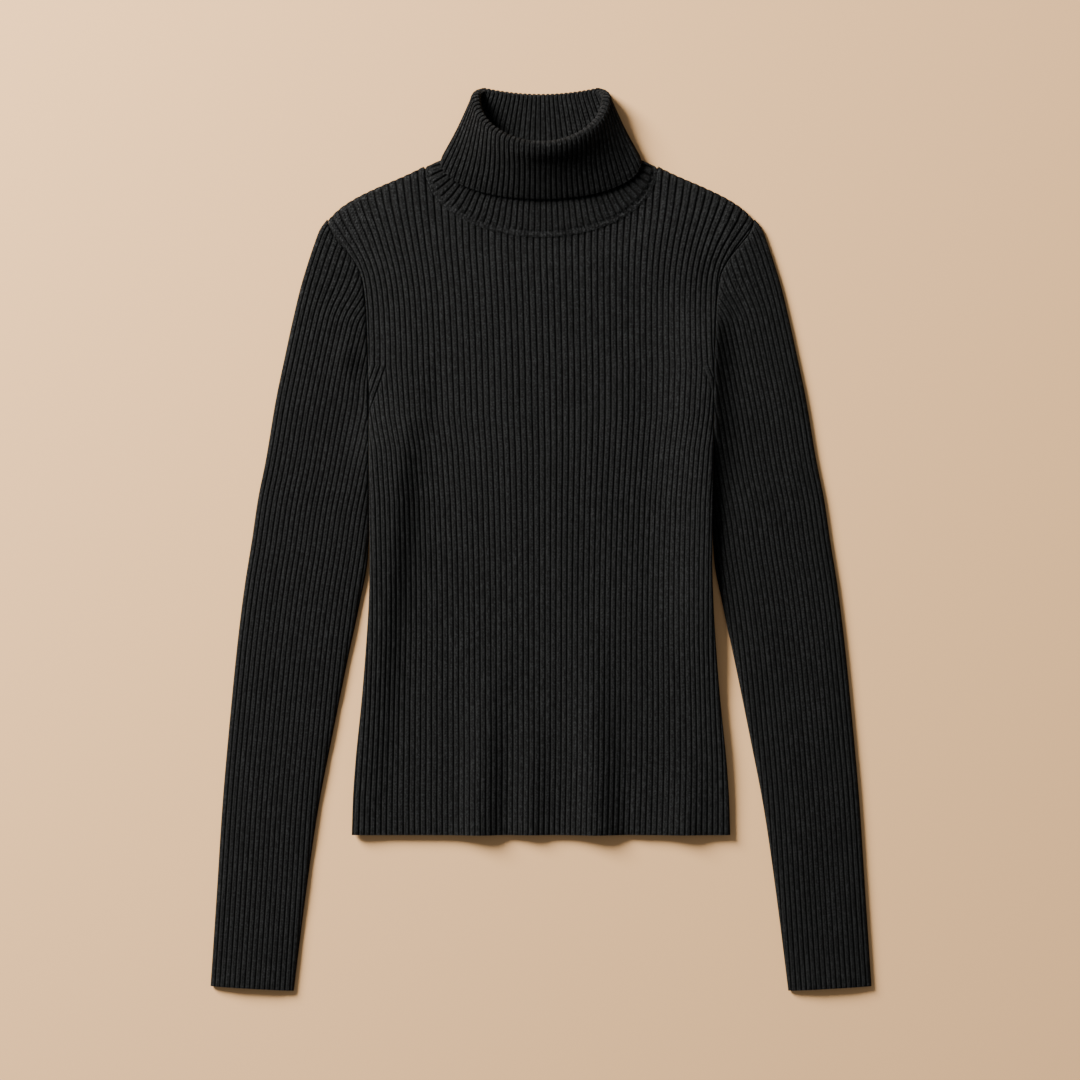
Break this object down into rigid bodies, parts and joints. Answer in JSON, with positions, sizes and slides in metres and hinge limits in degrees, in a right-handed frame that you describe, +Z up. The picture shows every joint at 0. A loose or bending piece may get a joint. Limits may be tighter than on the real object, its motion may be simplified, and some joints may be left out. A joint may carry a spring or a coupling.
{
  "type": "turtleneck sweater",
  "caption": "Slim ribbed knit sweater with long sleeves and a turned-down roll collar, lying flat with its front up.",
  "frame": {"origin": "on the surface that the sweater lies on, under the middle of its outline", "axes": "+Z up from the surface, +Y from the hem towards the collar, +X towards the wearer's left sleeve"},
  "size_m": [0.5944, 0.8097, 0.0235],
  "materials": {
    "body_knit": "black wool blend rib knit, matt with a short soft halo of fibres",
    "sleeve_knit": "black wool blend rib knit, matt with a short soft halo of fibres",
    "collar_knit": "black wool blend rib knit, matt, linked to the neck by a plain raised seam"
  },
  "bodies": {
    "root": {"front_panel": "body_knit", "back_panel": "body_knit", "sleeve_left": "sleeve_knit", "sleeve_right": "sleeve_knit", "collar": "collar_knit"}
  },
  "joints": []
}
